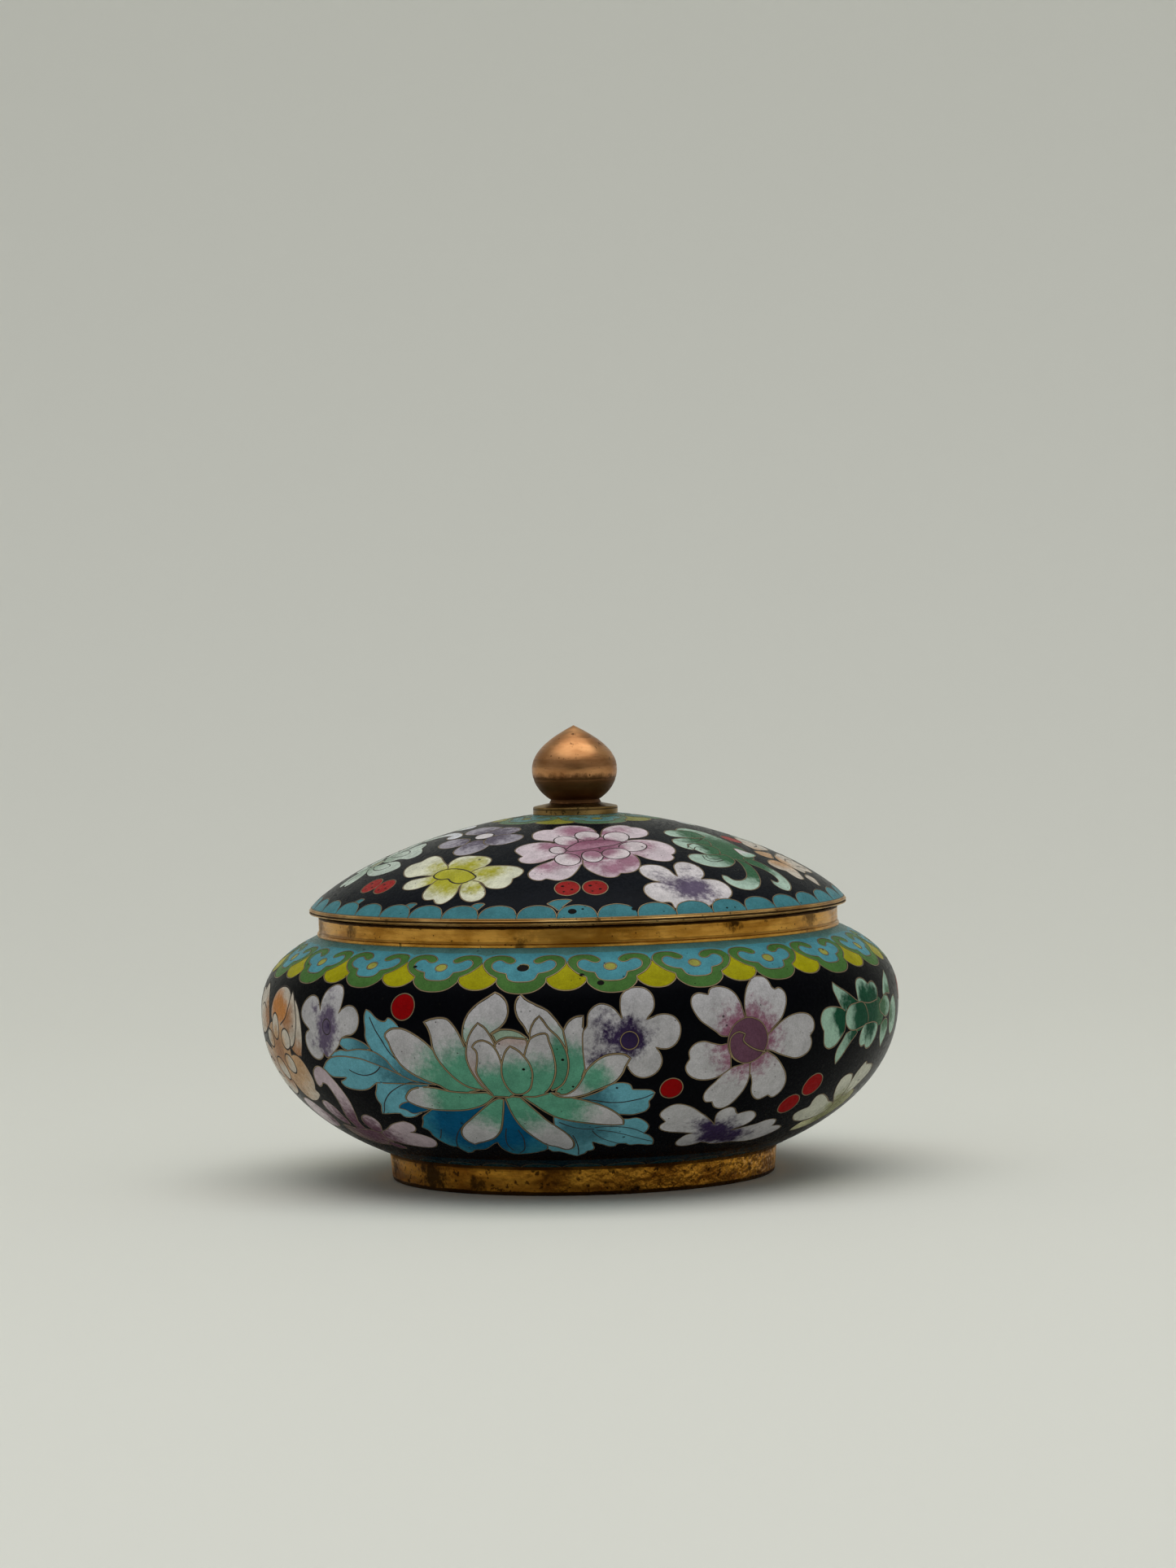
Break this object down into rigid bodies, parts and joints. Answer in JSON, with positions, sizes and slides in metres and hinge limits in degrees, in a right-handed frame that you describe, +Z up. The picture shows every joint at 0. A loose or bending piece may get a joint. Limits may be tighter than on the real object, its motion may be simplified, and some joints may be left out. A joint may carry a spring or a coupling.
{
  "type": "cloisonne lidded bowl",
  "caption": "Round enamelled bowl on a brass foot ring, with a brass collar round its mouth and a domed enamelled lid that lifts off by a pointed brass knob, for keeping small things.",
  "frame": {"origin": "on the bowl's axis, in the plane that the foot ring stands on", "axes": "+Z up along the bowl's axis, through the knob's point; -Y is the side the picture shows"},
  "size_m": [0.14, 0.14, 0.0987],
  "materials": {
    "enamel": "satin",
    "brass": "satin",
    "dark_brass": "satin",
    "coppery_brass": "satin"
  },
  "bodies": {
    "root": {"bowl": "enamel", "foot_ring": "brass", "neck_collar": "brass", "lid": "enamel", "lid_rim": "brass", "knob_collar": "dark_brass", "knob": "coppery_brass"}
  },
  "joints": []
}
